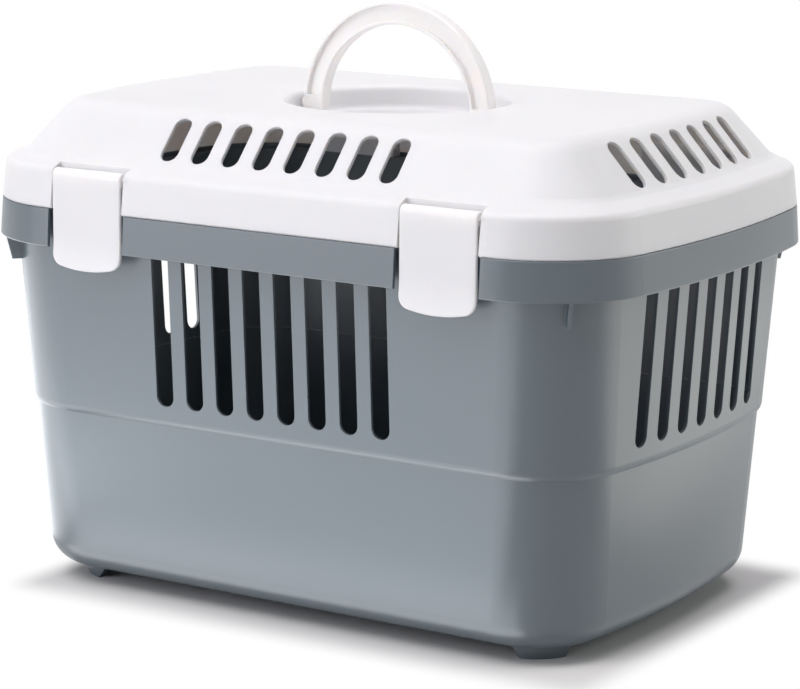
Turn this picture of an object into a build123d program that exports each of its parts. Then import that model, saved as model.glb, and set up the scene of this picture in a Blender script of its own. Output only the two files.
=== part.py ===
# Cat carrier: a slotted tub, a domed lid that four clips hold down, and a carrying handle
# Millimetres. X runs along the length, the front is at -Y, and Z = 0 is the floor under the feet.
import os
from itertools import pairwise
from math import atan2, cos, degrees, hypot, radians, sin, sqrt, tan

from build123d import *

os.makedirs("parts", exist_ok=True)

# Plan of the rim where the lid meets the tub: straight long sides, bowed short sides
length = 487.6
width = 334.2
corner_radius = 73.0
bow_radius = 742.0
half_length = length / 2
half_width = width / 2

# Heights of the tub
foot_height = 10.1
step_level = 121.5
rim_level = 234.5
seam_level = 259.4

# Tub walls
wall = 2.0
wall_setback = 11.6
wall_draft = 3.5
wall_corner = 57.2
step_depth = 2.4
step_round = 8.0
ledge_rise = 6.0
base_corner = 55.0
base_round = 18.5

# Rim of the tub: a skirt that hangs from a flange, with a bead that centres the lid
rim_flare = 1.7
rim_wall = 2.5
rim_edge_round = 0.9
bead_height = 3.0
bead_wall = 2.0
bead_clearance = 0.7

# Slots in the tub
long_slots = 8
long_slot_pitch = 23.4
long_slot_width = 13.1
long_slot_bottom = 134.9
short_slots = 7
short_slot_pitch = 24.8
short_slot_width = 12.65
short_slot_bottom = 133.9
slot_top = 246.0

# Gussets under the corners of the rim
gusset_wall = 2.5
gusset_drop = 16.1
gusset_lean = 4.0
gusset_angle = 48.0

# Feet: short ribs that follow the corners of the base
foot_radius = 29.6
foot_wall = 5.2
foot_angle = 49.0
foot_top_sweep = 83.0
foot_bottom_sweep = 54.0

# Lid: skirt, shoulder, sloped face and flat top, as insets from the rim plan and heights above the seam
skirt_inset = 3.0
skirt_height = 25.7
shoulder_inset = 17.7
shoulder_height = 32.3
crown_inset = 48.2
lid_height = 65.6
lid_wall = 2.5
skirt_round = 5.0
shoulder_round = 12.0
crown_round = 20.0
seam_gap = 0.8
seam_gap_depth = 1.0

# Slots in the sloped faces of the lid
lid_long_slots = 8
lid_long_pitch = 23.45
lid_long_slot_width = 13.0
lid_long_slot_length = 33.7
lid_long_slot_rise = 14.9
lid_short_slots = 7
lid_short_pitch = 24.5
lid_short_slot_width = 13.3
lid_short_slot_length = 35.4
lid_short_slot_rise = 15.6

# Handle: a half ring with a channel round each face, which folds either way into a round dish
handle_radius = 71.8
handle_depth = 15.2
handle_thickness = 10.0
handle_round = 1.3
channel_rim = 2.2
channel_depth = 3.2
channel_round = 0.9
channel_start = 5.0
pivot_drop = 7.7
pivot_radius = 3.9
pivot_clearance = 0.4
pivot_reach = 0.8
dish_gap = 2.6
dish_floor_gap = 2.6
dish_edge_round = 4.0
dish_floor_round = 3.0

# Clips: levers on pins in pockets of the lid, whose noses snap behind the rim
clip_width = 54.0
clip_spacing = 262.8
clip_wall = 3.0
clip_proud = -0.3
clip_hinge_radius = 4.8
clip_hinge_drop = 3.9
clip_length = 60.2
clip_belly = 3.8
clip_corner = 8.5
clip_flare = 2.8
clip_flare_height = 19.0
clip_edge_round = 1.1
clip_pin_radius = 1.5
clip_pin_clearance = 0.3
nose_width = 36.0
nose_depth = 1.0
nose_height = 4.2
nose_gap = 0.3
catch_wall = 2.5
catch_drop = 19.4
pocket_gap = 1.4
pocket_depth = 11.1
pocket_wall = 2.5
pocket_pin_margin = 0.4
rim_notch_gap = 2.9
bead_notch_gap = 1.2

# How far a cut runs past the face that it opens
cut_margin = 1.0

# Heights and places worked out from the sizes above
lid_top = seam_level + lid_height
pivot_level = lid_top - pivot_drop
dish_radius = handle_radius + dish_gap
dish_floor = pivot_level - handle_thickness / 2 - dish_floor_gap
dish_outer = dish_radius + lid_wall
clip_face = half_width + clip_proud
clip_axis_y = clip_face - clip_hinge_radius
clip_axis_z = seam_level + skirt_height - clip_hinge_drop
clip_bottom = clip_axis_z - clip_length
nose_face = clip_face - clip_wall - nose_depth
catch_face = nose_face - nose_gap
catch_bottom = seam_level - catch_drop
pocket_half = clip_width / 2 + pocket_gap
pocket_back = half_width - pocket_depth
pocket_block = pocket_half + pocket_wall
pocket_outside = half_width + clip_hinge_radius
clip_places = [(-clip_spacing / 2, 0), (clip_spacing / 2, 0)]
draft_slope = tan(radians(wall_draft))


def plan_points(inset, corner):
    """Sizes of the rim plan drawn in by an inset: half sizes, corner centre and bow's turn"""
    half_x = half_length - inset
    half_y = half_width - inset
    bow = bow_radius - inset
    centre_y = half_y - corner
    centre_x = half_x - bow + sqrt((bow - corner) ** 2 - centre_y**2)
    turn = atan2(centre_y, centre_x - (half_x - bow))
    return half_x, half_y, centre_x, centre_y, turn


def plan_outline(inset, corner, level):
    """Face of the rim plan drawn in by an inset, lying at a height"""
    half_x, half_y, centre_x, centre_y, turn = plan_points(inset, corner)
    middle = (turn + radians(90)) / 2
    meet_x = centre_x + corner * cos(turn)
    meet_y = centre_y + corner * sin(turn)
    round_x = centre_x + corner * cos(middle)
    round_y = centre_y + corner * sin(middle)
    with BuildSketch(Plane.XY.offset(level)) as outline:
        with BuildLine():
            for side in (-1, 1):
                Line((-centre_x, side * half_y), (centre_x, side * half_y))
                ThreePointArc((side * meet_x, -meet_y), (side * half_x, 0), (side * meet_x, meet_y))
                for end in (-1, 1):
                    ThreePointArc(
                        (side * meet_x, end * meet_y),
                        (side * round_x, end * round_y),
                        (side * centre_x, end * half_y),
                    )
        make_face()
    return outline.sketch


def tapered_solid(low_inset, high_inset, corner, low, high, bottom_round=0.0):
    """Solid with drafted walls, the same corners at every height and perhaps a rounded bottom edge"""
    with BuildPart() as solid:
        add(plan_outline(low_inset, corner, low))
        add(plan_outline(high_inset, corner, high))
        loft(ruled=True)
        if bottom_round:
            fillet(level_edges(solid, low), bottom_round)
    return solid.part


def wall_inset(level):
    """How far the upper wall's outside lies within the rim plan at a height"""
    return wall_setback + (rim_level - level) * draft_slope


def stacked_solid(profile, corner):
    """Solid whose outline draws in evenly between the heights of a profile of (inset, height)"""
    with BuildPart() as solid:
        for (inset, level), (next_inset, next_level) in pairwise(profile):
            add(plan_outline(inset, corner - inset, level))
            extrude(
                amount=next_level - level,
                taper=degrees(atan2(next_inset - inset, next_level - level)),
            )
    return solid


def level_edges(solid, level):
    """Edges that lie at a height"""
    return solid.edges().filter_by_position(Axis.Z, level - 0.01, level + 0.01)


def thinned(profile, thickness):
    """The profile that runs a wall's thickness inside a profile of (inset, height)"""
    lines = []
    for (inset, level), (next_inset, next_level) in pairwise(profile):
        run = next_inset - inset
        rise = next_level - level
        shift = thickness / hypot(run, rise)
        lines.append((inset + shift * rise, level - shift * run, run, rise))
    start, low, run, rise = lines[0]
    points = [(start + (profile[0][1] - low) * run / rise, profile[0][1])]
    for (inset, level, run, rise), (inset2, level2, run2, rise2) in pairwise(lines):
        share = ((inset2 - inset) * rise2 - (level2 - level) * run2) / (run * rise2 - rise * run2)
        points.append((inset + share * run, level + share * rise))
    last, level, run, rise = lines[-1]
    top = profile[-1][1] - thickness
    points.append((last + (top - level) * run / rise, top))
    return points


def dome(profile, rounds):
    """Solid of the lid's form with a rounding where each pair of its faces meets"""
    with BuildPart() as solid:
        add(stacked_solid(profile, corner_radius).part)
        for (inset, level), rounding in zip(profile[1:], rounds):
            fillet(level_edges(solid, level), rounding)
    return solid.part


def foot_outline(sweep, level):
    """Face of one foot at a height: a stretch of a ring about the corner of the base"""
    turn = radians(sweep / 2)
    inner = foot_radius - foot_wall / 2
    outer = foot_radius + foot_wall / 2
    centre = plan_points(base_inset, base_corner)[2:4]
    plane = Plane(origin=(*centre, level), x_dir=(cos(radians(foot_angle)), sin(radians(foot_angle)), 0))
    with BuildSketch(plane) as outline:
        with BuildLine():
            CenterArc((0, 0), outer, -sweep / 2, sweep)
            CenterArc((0, 0), inner, -sweep / 2, sweep)
            for side in (-1, 1):
                Line(
                    (inner * cos(turn), side * inner * sin(turn)),
                    (outer * cos(turn), side * outer * sin(turn)),
                )
        make_face()
    return outline.sketch


# Walls of the tub, solid: a bulging upper box over a slightly smaller lower one
ledge_level = step_level + ledge_rise
step_reach = sqrt(step_round**2 - (step_round - step_depth) ** 2)
upper_bottom = step_level - (step_round - step_reach)
ledge_inset = wall_inset(ledge_level) + step_depth
base_inset = ledge_inset + (ledge_level - foot_height) * draft_slope
tub_upper = tapered_solid(
    wall_inset(upper_bottom), wall_inset(seam_level), wall_corner, upper_bottom, seam_level, step_round
)
tub_lower = tapered_solid(base_inset, ledge_inset, base_corner, foot_height, ledge_level, base_round)

# Space inside the tub: the same two forms a wall's thickness further in
cabin_floor = foot_height + wall
cabin_inset = base_inset - wall * draft_slope + wall
cabin_upper = tapered_solid(
    wall_inset(ledge_level) + wall, wall_inset(lid_top) + wall, wall_corner - wall, ledge_level, lid_top
)
cabin_lower = tapered_solid(
    cabin_inset, ledge_inset + wall, base_corner - wall, cabin_floor, ledge_level, base_round - wall
)

# Rim: a flared skirt closed by a flange on top
flare_slope = rim_flare / (seam_level - rim_level)
rim_outer = stacked_solid([(-rim_flare, rim_level), (0.0, seam_level)], corner_radius)
rim_inner = stacked_solid(
    [(rim_wall - rim_flare, rim_level), (rim_wall - rim_wall * flare_slope, seam_level - rim_wall)],
    corner_radius,
)

# Gusset: an upright plate across each corner, from the wall to the inside of the rim
rim_centre = plan_points(0.0, corner_radius)[2:4]
gusset_tip = corner_radius - rim_wall + cut_margin / 4
gusset_reach = gusset_tip + rim_flare
across = (cos(radians(gusset_angle)), sin(radians(gusset_angle)), 0)
with BuildPart() as gussets:
    with BuildSketch(Plane(origin=(*rim_centre, 0), x_dir=across, z_dir=(across[1], -across[0], 0))):
        with BuildLine():
            Polyline(
                (0, rim_level - gusset_drop),
                (gusset_reach - gusset_lean, rim_level - gusset_drop),
                (gusset_reach, rim_level),
                (gusset_tip, seam_level - rim_wall),
                (0, seam_level - rim_wall),
                close=True,
            )
        make_face()
    extrude(amount=gusset_wall / 2, both=True)
    mirror(about=Plane.XZ)
    mirror(about=Plane.YZ)

# Notches that let the clips into the rim, and the catches that hang behind them
notch_width = clip_width + 2 * rim_notch_gap
with BuildPart() as rim_notches:
    with Locations(Location((0, catch_face, rim_level - cut_margin))):
        with Locations(*clip_places):
            Box(
                notch_width,
                half_width + rim_flare + cut_margin - catch_face,
                seam_level - rim_level + 2 * cut_margin,
                align=(Align.CENTER, Align.MIN, Align.MIN),
            )
    mirror(about=Plane.XZ)
with BuildPart() as catches:
    with Locations(Location((0, catch_face, catch_bottom))):
        with Locations(*clip_places):
            Box(notch_width, catch_wall, catch_drop, align=(Align.CENTER, Align.MAX, Align.MIN))
    mirror(about=Plane.XZ)

# Bead on the flange, which stands just inside the lid's skirt and stops short of its pockets
bead_inset = lid_wall + bead_clearance
with BuildPart() as bead:
    add(plan_outline(bead_inset, corner_radius - bead_inset, seam_level))
    extrude(amount=bead_height)
    add(plan_outline(bead_inset + bead_wall, corner_radius - bead_inset - bead_wall, seam_level))
    extrude(amount=bead_height, mode=Mode.SUBTRACT)
    with Locations(Location((0, 0, seam_level))):
        with Locations(*clip_places):
            Box(2 * (pocket_block + bead_notch_gap), width, 2 * bead_height, mode=Mode.SUBTRACT)

# Slots through the walls of the tub, from one side to the other
with BuildPart() as tub_slots:
    with BuildSketch(Plane.XZ):
        with Locations((0, (slot_top + long_slot_bottom) / 2)):
            with GridLocations(long_slot_pitch, 0, long_slots, 1):
                SlotOverall(slot_top - long_slot_bottom, long_slot_width, rotation=90)
    extrude(amount=half_width - wall_inset(slot_top) + cut_margin, both=True)
    with BuildSketch(Plane.YZ):
        with Locations((0, (slot_top + short_slot_bottom) / 2)):
            with GridLocations(short_slot_pitch, 0, short_slots, 1):
                SlotOverall(slot_top - short_slot_bottom, short_slot_width, rotation=90)
    extrude(amount=half_length - wall_inset(slot_top) + cut_margin, both=True)

# Feet
with BuildPart() as feet:
    add(foot_outline(foot_bottom_sweep, 0.0))
    add(foot_outline(foot_top_sweep, foot_height))
    loft(ruled=True)
    mirror(about=Plane.XZ)
    mirror(about=Plane.YZ)

with BuildPart() as tub:
    add(rim_outer)
    fillet(level_edges(tub, seam_level), rim_edge_round)
    fillet(level_edges(tub, rim_level), rim_edge_round)
    add(rim_inner, mode=Mode.SUBTRACT)
    add(rim_notches.part, mode=Mode.SUBTRACT)
    add(catches.part)
    add(gussets.part)
    add(tub_upper)
    add(tub_lower)
    add(cabin_upper, mode=Mode.SUBTRACT)
    add(cabin_lower, mode=Mode.SUBTRACT)
    add(tub_slots.part, mode=Mode.SUBTRACT)
    add(bead.part)
    add(feet.part)
tub.part.label = "tub"
export_step(tub.part, "parts/tub.step")

# Form of the lid from the seam up, outside and inside
shoulder_level = seam_level + shoulder_height
lid_profile = [
    (0.0, seam_level),
    (skirt_inset, seam_level + skirt_height),
    (shoulder_inset, shoulder_level),
    (crown_inset, lid_top),
]
lid_outside = dome(lid_profile, (skirt_round, shoulder_round, crown_round))
lid_inside = dome(
    thinned(lid_profile, lid_wall),
    (skirt_round - lid_wall, shoulder_round + lid_wall, crown_round - lid_wall),
)

# Round dish in the top of the lid, and the material that its wall and floor are made of
with BuildPart() as dish:
    with Locations((0, 0, dish_floor)):
        Cylinder(dish_radius, lid_height, align=(Align.CENTER, Align.CENTER, Align.MIN))
    fillet(level_edges(dish, dish_floor), dish_floor_round)
with BuildPart() as dish_block:
    with Locations((0, 0, dish_floor - lid_wall)):
        Cylinder(dish_outer, lid_height, align=(Align.CENTER, Align.CENTER, Align.MIN))
    fillet(level_edges(dish_block, dish_floor - lid_wall), dish_floor_round + lid_wall)


def pocket_boxes(half, back):
    """Upright blocks at the clips' places, from a depth behind the skirt to well outside it"""
    with BuildPart() as boxes:
        with Locations(Location((0, back, seam_level - cut_margin))):
            with Locations(*clip_places):
                Box(
                    2 * half,
                    pocket_outside - back,
                    lid_height,
                    align=(Align.CENTER, Align.MIN, Align.MIN),
                )
        mirror(about=Plane.XZ)
    return boxes.part


# Slots through the sloped faces, square to each face
slope_run = crown_inset - shoulder_inset
slope_rise = lid_top - shoulder_level
long_slot_level = shoulder_level + lid_long_slot_rise
long_slot_inset = shoulder_inset + lid_long_slot_rise * slope_run / slope_rise
short_slot_level = shoulder_level + lid_short_slot_rise
short_slot_inset = shoulder_inset + lid_short_slot_rise * slope_run / slope_rise
slope_bow = bow_radius - short_slot_inset
with BuildPart() as lid_slots:
    middle = (0, half_width - long_slot_inset, long_slot_level)
    with BuildSketch(Plane(origin=middle, x_dir=(1, 0, 0), z_dir=(0, slope_rise, slope_run))):
        with GridLocations(lid_long_pitch, 0, lid_long_slots, 1):
            SlotOverall(lid_long_slot_length, lid_long_slot_width, rotation=90)
    extrude(amount=2 * lid_wall, both=True)
    for number in range(lid_short_slots):
        across_y = (number - (lid_short_slots - 1) / 2) * lid_short_pitch
        out_x = half_length - short_slot_inset - slope_bow + sqrt(slope_bow**2 - across_y**2)
        middle = (out_x, across_y, short_slot_level)
        with BuildSketch(Plane(origin=middle, x_dir=(0, 1, 0), z_dir=(slope_rise, 0, slope_run))):
            SlotOverall(lid_short_slot_length, lid_short_slot_width, rotation=90)
        extrude(amount=2 * lid_wall, both=True)
    mirror(about=Plane.XZ)
    mirror(about=Plane.YZ)

# Space inside the lid: it leaves the dish and the walls of the clip pockets standing
with BuildPart() as lid_space:
    add(lid_inside)
    add(dish_block.part, mode=Mode.SUBTRACT)
    add(pocket_boxes(pocket_block, pocket_back - pocket_wall), mode=Mode.SUBTRACT)

# Rebate round the outside of the skirt's lower edge, which leaves a thin shadow line above the rim
with BuildPart() as rebate:
    add(plan_outline(-cut_margin, corner_radius + cut_margin, seam_level))
    extrude(amount=seam_gap)
    add(plan_outline(seam_gap_depth, corner_radius - seam_gap_depth, seam_level))
    extrude(amount=seam_gap, mode=Mode.SUBTRACT)

with BuildPart() as lid:
    add(lid_outside)
    add(rebate.part, mode=Mode.SUBTRACT)
    add(dish.part, mode=Mode.SUBTRACT)
    dish_edge = level_edges(lid, lid_top).filter_by(GeomType.CIRCLE).filter_by(
        lambda edge: abs(edge.radius - dish_radius) < lid_wall and edge.arc_center.X == 0
    )
    fillet(dish_edge, dish_edge_round)
    add(lid_space.part, mode=Mode.SUBTRACT)
    add(pocket_boxes(pocket_half, pocket_back), mode=Mode.SUBTRACT)
    add(lid_slots.part, mode=Mode.SUBTRACT)
    for side in (-1, 1):
        with Locations((side * (dish_radius + dish_outer) / 2, 0, pivot_level)):
            Cylinder(
                pivot_radius + pivot_clearance,
                lid_wall + 2 * cut_margin,
                rotation=(0, 90, 0),
                mode=Mode.SUBTRACT,
            )
        with Locations(Location((0, side * clip_axis_y, clip_axis_z))):
            with Locations(*clip_places):
                Cylinder(
                    clip_pin_radius + clip_pin_clearance,
                    2 * pocket_block,
                    rotation=(0, 90, 0),
                    mode=Mode.SUBTRACT,
                )
lid.part.label = "lid"
export_step(lid.part, "parts/lid.step")

# Handle: the section turned over half a ring, and each end turned about the pivot into a round eye
ring_radius = handle_radius - handle_depth / 2
pivot_line = Axis((0, 0, pivot_level), (0, -1, 0))
with BuildPart() as handle:
    with BuildSketch(Plane.XY.offset(pivot_level)):
        with Locations((ring_radius, 0)):
            RectangleRounded(handle_depth, handle_thickness, handle_round)
    revolve(axis=pivot_line, revolution_arc=180)
with BuildPart() as eye:
    with BuildSketch(Plane.XY.offset(pivot_level)):
        with Locations((ring_radius, 0)):
            RectangleRounded(handle_depth, handle_thickness, handle_round)
            Rectangle(
                handle_depth, handle_thickness, align=(Align.CENTER, Align.MAX), mode=Mode.SUBTRACT
            )
    revolve(axis=Axis((0, 0, pivot_level), (-1, 0, 0)), revolution_arc=180)
    pin_end = dish_outer + pivot_reach
    with Locations(((ring_radius + pin_end) / 2, 0, pivot_level)):
        Cylinder(pivot_radius, pin_end - ring_radius, rotation=(0, 90, 0))

# Channels: they leave a rim along each edge of the handle's faces and stop short of the eyes
start = radians(channel_start)
channel_plane = Plane(
    origin=(0, 0, pivot_level), x_dir=(cos(start), 0, sin(start)), z_dir=(-sin(start), 0, cos(start))
)
with BuildPart() as channels:
    with BuildSketch(channel_plane):
        with Locations((ring_radius, -handle_thickness / 2), (ring_radius, handle_thickness / 2)):
            RectangleRounded(handle_depth - 2 * channel_rim, 2 * channel_depth, channel_round)
    revolve(axis=pivot_line, revolution_arc=180 - 2 * channel_start)
with handle:
    add(channels.part, mode=Mode.SUBTRACT)
    add(eye.part)
    add(eye.part.mirror(Plane.YZ))
handle.part.label = "handle"
export_step(handle.part, "parts/handle.step")

# Clip, as it stands at the back: a plate with a hinge barrel on top and a flared lower end
back_face = clip_face - clip_wall
flare_level = clip_bottom + clip_flare_height
flare_radius = (clip_flare_height**2 + clip_flare**2) / (2 * clip_flare)
flare_inside = clip_face + flare_radius - sqrt((flare_radius + clip_wall) ** 2 - clip_flare_height**2)
nose_top = catch_bottom - nose_gap
with BuildPart() as clip_form:
    with BuildSketch(Plane.YZ):
        with BuildLine():
            Line((back_face, flare_level), (back_face, clip_axis_z))
            Line((back_face, clip_axis_z), (clip_face, clip_axis_z))
            Line((clip_face, clip_axis_z), (clip_face, flare_level))
            TangentArc((clip_face, flare_level), (clip_face + clip_flare, clip_bottom), tangent=(0, -1))
            Line((clip_face + clip_flare, clip_bottom), (flare_inside, clip_bottom))
            TangentArc((back_face, flare_level), (flare_inside, clip_bottom), tangent=(0, -1))
        make_face()
        with Locations((clip_axis_y, clip_axis_z)):
            Circle(clip_hinge_radius)
    extrude(amount=clip_width / 2, both=True)
    with BuildSketch(Plane.XZ) as front_view:
        with BuildLine():
            ThreePointArc(
                (-clip_width / 2, clip_bottom + clip_belly),
                (0, clip_bottom),
                (clip_width / 2, clip_bottom + clip_belly),
            )
            Polyline(
                (clip_width / 2, clip_bottom + clip_belly),
                (clip_width / 2, lid_top),
                (-clip_width / 2, lid_top),
                (-clip_width / 2, clip_bottom + clip_belly),
            )
        make_face()
        fillet(front_view.vertices().group_by(Axis.Y)[0], clip_corner)
    extrude(amount=width, both=True, mode=Mode.INTERSECT)
    outline_edges = clip_form.edges().filter_by(
        lambda edge: edge.center().Y > clip_face - clip_edge_round
    )
    fillet(outline_edges.filter_by(Axis.X, reverse=True), clip_edge_round)
    with BuildSketch(Plane.YZ):
        with BuildLine():
            Polyline(
                (clip_face - clip_wall / 2, nose_top),
                (nose_face, nose_top),
                (nose_face, nose_top - nose_height / 3),
                (clip_face - clip_wall / 2, nose_top - nose_height),
                close=True,
            )
        make_face()
    extrude(amount=nose_width / 2, both=True)
    with Locations((0, clip_axis_y, clip_axis_z)):
        Cylinder(clip_pin_radius, 2 * (pocket_block - pocket_pin_margin), rotation=(0, 90, 0))

for y_name, y_side in (("front", -1), ("back", 1)):
    for x_name, x_side in (("left", -1), ("right", 1)):
        with BuildPart() as clip:
            with Locations((x_side * clip_spacing / 2, 0, 0)):
                add(clip_form.part if y_side > 0 else clip_form.part.mirror(Plane.XZ))
        clip.part.label = f"clip_{y_name}_{x_name}"
        export_step(clip.part, f"parts/{clip.part.label}.step")
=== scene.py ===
from math import radians

import bpy
from mathutils import Matrix, Vector

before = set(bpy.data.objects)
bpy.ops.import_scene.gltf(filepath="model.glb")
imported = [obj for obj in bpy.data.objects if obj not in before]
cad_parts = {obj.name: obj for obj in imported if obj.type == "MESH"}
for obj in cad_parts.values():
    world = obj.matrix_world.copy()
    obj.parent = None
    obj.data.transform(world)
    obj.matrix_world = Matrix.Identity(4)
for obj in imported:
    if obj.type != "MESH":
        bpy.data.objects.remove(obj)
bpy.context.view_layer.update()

# Camera
# A long lens a little above the lid, before the right front corner. The picture is cut out of a wider
# one, so its middle lies beside the lens's axis. The turns are in radians.
camera_place = (1.0668, -1.7159, 0.5770)
turn_left = 0.573
look_down = 0.202
roll = 0.005
view = bpy.data.cameras.new("view")
view.sensor_width = 36.0
view.lens = 138.95
view.shift_x = 0.0674
view.shift_y = -0.0066
camera = bpy.data.objects.new("camera", view)
camera.matrix_world = (
    Matrix.Translation(camera_place)
    @ Matrix.Rotation(turn_left, 4, "Z")
    @ Matrix.Rotation(radians(90) - look_down, 4, "X")
    @ Matrix.Rotation(roll, 4, "Z")
)
bpy.context.scene.collection.objects.link(camera)
bpy.context.scene.camera = camera


# Tub
# The lower half of the carrier, one deep moulding of slate-coloured polypropylene with its feet, vent
# slots, step line and the clips' catches moulded in. Its satin finish comes from the mould's fine grain.
class Channel:
    """One socket of a material, for sums in Python: each operator adds the Math node that does it"""

    def __init__(self, tree, socket=None):
        self.tree, self.socket = tree, socket

    def node(self, kind, settings, inputs, output=0):
        """Another node of the same material: its settings first, then its sockets, as values or links"""
        made = self.tree.nodes.new(kind)
        for name, value in settings.items():
            setattr(made, name, value)
        for key, value in inputs.items():
            if isinstance(value, Channel):
                self.tree.links.new(value.socket, made.inputs[key])
            else:
                made.inputs[key].default_value = value
        return Channel(self.tree, made.outputs[output])

    def into(self, node, key):
        """Feed this value to a socket of a node that is there already"""
        self.tree.links.new(self.socket, node.inputs[key])

    def math(self, operation, *values):
        """A Math node with these values or links in its sockets, in their order"""
        return self.node("ShaderNodeMath", {"operation": operation}, dict(enumerate(values)))

    def __add__(self, other):
        return self.math("ADD", self, other)

    def __sub__(self, other):
        return self.math("SUBTRACT", self, other)

    def __rsub__(self, other):
        return self.math("SUBTRACT", other, self)

    def __mul__(self, other):
        return self.math("MULTIPLY", self, other)

    __radd__ = __add__
    __rmul__ = __mul__


clouds_per_metre = 14.0
colour_drift = 0.03
cloud_roughness = 0.06
grain_roughness = 0.05
noise_middle = 0.5
# A Mix node's sockets for colours, which share their names with its sockets for numbers
first_colour, second_colour, mixed_colour = 6, 7, 2


def moulded_plastic(name, colour, roughness, grain, grain_depth):
    """Injection-moulded plastic in one colour, with the width and depth of the mould's grain in metres.

    The colour drifts a little either way in clouds as wide as a hand, as a melt does when it fills the
    mould. The grain is fine noise that tips the surface, and the roughness follows both noises.
    """
    material = bpy.data.materials.new(name)
    material.use_nodes = True
    tree = material.node_tree
    shader = tree.nodes["Principled BSDF"]
    place = Channel(tree).node("ShaderNodeTexCoord", {}, {}, "Object")
    wide = {"Vector": place, "Scale": clouds_per_metre, "Detail": 3.0}
    cloud = place.node("ShaderNodeTexNoise", {}, wide)
    fine = {"Vector": place, "Scale": 1 / grain, "Detail": 2.0}
    pits = place.node("ShaderNodeTexNoise", {}, fine)
    darker = (*((1 - colour_drift) * c for c in colour), 1.0)
    lighter = (*((1 + colour_drift) * c for c in colour), 1.0)
    shades = {"Factor": cloud, first_colour: darker, second_colour: lighter}
    drift = cloud.node("ShaderNodeMix", {"data_type": "RGBA"}, shades, mixed_colour)
    drift.into(shader, "Base Color")
    from_cloud = cloud_roughness * (cloud - noise_middle)
    from_grain = grain_roughness * (pits - noise_middle)
    uneven = roughness + from_cloud + from_grain
    uneven.into(shader, "Roughness")
    tipped = pits.node("ShaderNodeBump", {}, {"Height": pits, "Distance": grain_depth, "Strength": 1.0})
    tipped.into(shader, "Normal")
    return material, shader


edge_radius = 0.0006


def soften_edges(material):
    """Turn the surface's normal near an edge as a rounding of the edge radius would"""
    tree = material.node_tree
    bump = next(node for node in tree.nodes if node.bl_idname == "ShaderNodeBump")
    rounding = Channel(tree).node("ShaderNodeBevel", {"samples": 6}, {"Radius": edge_radius})
    rounding.into(bump, "Normal")


def dress(node, material):
    """Give a node of the frame this material alone"""
    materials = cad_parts[node].data.materials
    materials.clear()
    materials.append(material)


slate = (0.081, 0.110, 0.132)
slate_plastic, slate_shader = moulded_plastic(
    "slate_polypropylene", slate, roughness=0.34, grain=0.0005, grain_depth=0.00002
)
slate_shader.inputs["IOR"].default_value = 1.58
slate_shader.inputs["Specular IOR Level"].default_value = 0.7
soften_edges(slate_plastic)
dress("tub", slate_plastic)

# Lid
# The upper half, one moulding of white polypropylene with four slotted slopes, the handle's dish and the
# pockets of the clips. It sits on the tub's rim, and its thin walls take in a little light.
white = (0.91, 0.897, 0.906)


def let_light_in(shader, reach):
    """Light wanders under the surface as far as this reach in metres, and its red part the furthest"""
    shader.inputs["Subsurface Weight"].default_value = 0.6
    shader.inputs["Subsurface Radius"].default_value = (1.0, 0.85, 0.7)
    shader.inputs["Subsurface Scale"].default_value = reach


white_plastic, white_shader = moulded_plastic(
    "white_polypropylene", white, roughness=0.40, grain=0.0007, grain_depth=0.00001
)
let_light_in(white_shader, reach=0.008)
soften_edges(white_plastic)
dress("lid", white_plastic)

# Handle
# A white moulded half ring with a channel along both faces. The pins at its ends turn in two holes of the
# dish's wall, and it folds flat into the dish either way. Its white is painted a shade paler than the
# lid's, as painted light that makes up for the light it gets less of than the lid.
handle_white_with_painted_light = (0.95, 0.942, 0.945)
handle_plastic, handle_shader = moulded_plastic(
    "handle_polypropylene", handle_white_with_painted_light, roughness=0.34, grain=0.0009, grain_depth=0.00001
)
let_light_in(handle_shader, reach=0.003)
dress("handle", handle_plastic)

# Clips
# Four levers moulded in the lid's white plastic, two at the front and two at the back. Each turns on its
# own pins in a pocket of the lid, and the nose at its back snaps under a catch behind the tub's rim.
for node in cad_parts:
    if node.startswith("clip_"):
        dress(node, white_plastic)

# Floor
# A sheet of white paper, far larger than the picture. It takes the shadow under and close around the
# base, and further off the camera and the plastic's gloss see plain white.
paper_size = 24.0
paper_white = (0.92, 0.915, 0.92, 1.0)
plain_white = (1.0, 1.0, 1.0, 1.0)
# The shadow is whole within a rectangle, the outline of the tub's base without a strip at its left end.
# Outside it fades away over its reach, and a distance past the ends weighs more than one past the sides.
shadow_middle = (0.0145, 0.0)
shadow_half = (0.1995, 0.1375)
distance_weights = (1.4, 1.0)
shadow_reach = 0.042
gloss_shadow_reach = 0.012
bpy.ops.mesh.primitive_plane_add(size=paper_size)
floor = bpy.context.object
floor.name = "floor"
paper = bpy.data.materials.new("floor_paper")
paper.use_nodes = True
tree = paper.node_tree
shader = tree.nodes["Principled BSDF"]
shader.inputs["Base Color"].default_value = paper_white
shader.inputs["Roughness"].default_value = 0.9
shader.inputs["Specular IOR Level"].default_value = 0.0


def rays_seen(tree):
    """1 for the camera's own rays, and 1 for those rays and reflections together, else 0"""
    camera_ray = Channel(tree).node("ShaderNodeLightPath", {}, {}, "Is Camera Ray")
    glossy_ray = Channel(tree).node("ShaderNodeLightPath", {}, {}, "Is Glossy Ray")
    return camera_ray, camera_ray.math("MAXIMUM", camera_ray, glossy_ray)


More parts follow.
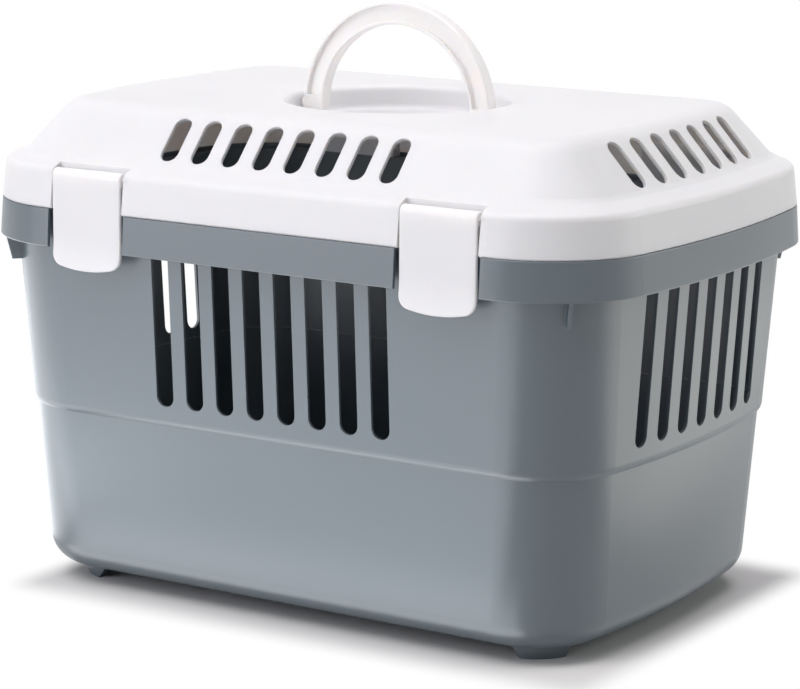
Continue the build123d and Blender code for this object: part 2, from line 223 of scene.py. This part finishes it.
place = Channel(tree).node("ShaderNodeTexCoord", {}, {}, "Object")
outside = []
for axis, middle, half, weight in zip("XY", shadow_middle, shadow_half, distance_weights):
    along = place.node("ShaderNodeSeparateXYZ", {}, {"Vector": place}, axis) - middle
    beyond = along.math("MAXIMUM", along.math("ABSOLUTE", along) - half, 0.0)
    outside.append(weight * beyond)
distance = place.math("SQRT", outside[0] * outside[0] + outside[1] * outside[1])
camera_ray, seen = rays_seen(tree)
reach = gloss_shadow_reach + (shadow_reach - gloss_shadow_reach) * camera_ray
fade = {"Value": distance, "From Min": 0.0, "From Max": reach}
open_floor = distance.node("ShaderNodeMapRange", {"interpolation_type": "SMOOTHSTEP"}, fade)
lit = Channel(tree, shader.outputs["BSDF"])
bright = place.node("ShaderNodeEmission", {}, {"Color": plain_white, "Strength": 1.0})
# A Mix Shader node's two shaders, which share one name
first_shader, second_shader = 1, 2
shaders = {"Fac": seen * open_floor, first_shader: lit, second_shader: bright}
mixed = place.node("ShaderNodeMixShader", {}, shaders)
mixed.into(tree.nodes["Material Output"], "Surface")
floor.data.materials.append(paper)

# Light
# A faintly lit white room, with soft boxes at the left front, above and behind the right end. Three
# reflectors and a strip lie on the paper, and only the gloss of the plastic shows them.
room_light = 0.04
world = bpy.data.worlds.new("studio")
bpy.context.scene.world = world
world.use_nodes = True
background = world.node_tree.nodes["Background"]
background.inputs["Color"].default_value = plain_white
_, seen = rays_seen(world.node_tree)
strength = room_light + (1.0 - room_light) * seen
strength.into(background, "Strength")


def soft_box(name, place, aim, size, power, colour, gloss_only=False):
    """A rectangular lamp of this width and height in metres and power in watts, turned to face a point"""
    box = bpy.data.lights.new(name, "AREA")
    box.shape = "RECTANGLE"
    box.size, box.size_y = size
    box.energy = power
    box.color = colour
    lamp = bpy.data.objects.new(name, box)
    lamp.location = place
    lamp.rotation_euler = (Vector(aim) - Vector(place)).to_track_quat("-Z", "Y").to_euler()
    lamp.visible_camera = False
    lamp.visible_diffuse = not gloss_only
    bpy.context.scene.collection.objects.link(lamp)


# Each lamp's place, the point it faces, its size, power and colour
soft_boxes = {
    "key_light": ((-1.9, -2.9, 1.0), (0.0, 0.0, 0.17), (2.2, 1.9), 41.0, (0.98, 0.95, 1.0)),
    "front_light": ((-0.7, -2.4, 3.1), (0.0, 0.0, 0.25), (2.0, 1.6), 40.0, (1.0, 1.0, 0.95)),
    "top_light": ((0.1, -0.1, 4.0), (0.0, 0.0, 0.15), (4.2, 3.8), 121.0, (1.0, 0.95, 0.98)),
    "side_light": ((2.9, 2.3, 1.3), (0.0, 0.0, 0.20), (1.8, 1.8), 37.0, (0.985, 1.0, 0.94)),
}
for name, settings in soft_boxes.items():
    soft_box(name, *settings)

# Each reflector's middle on the paper, its size, power and colour. It lies just clear of the paper and
# faces straight up.
clear_of_paper = 0.003
overhead = 1.0
reflectors = {
    "left_reflector": ((-0.40, -0.60), (1.05, 0.80), 5.4, (0.91, 0.95, 1.0)),
    "far_left_reflector": ((-0.78, -0.05), (1.04, 1.00), 6.4, (0.91, 0.95, 1.0)),
    "right_reflector": ((0.75, 0.55), (0.80, 0.90), 3.1, (1.0, 0.97, 0.88)),
    "front_strip": ((-0.02, -0.185), (0.40, 0.08), 0.25, (0.95, 0.97, 1.0)),
}
for name, ((x, y), size, power, colour) in reflectors.items():
    soft_box(name, (x, y, clear_of_paper), (x, y, overhead), size, power, colour, gloss_only=True)

bpy.context.scene.view_settings.view_transform = "Standard"
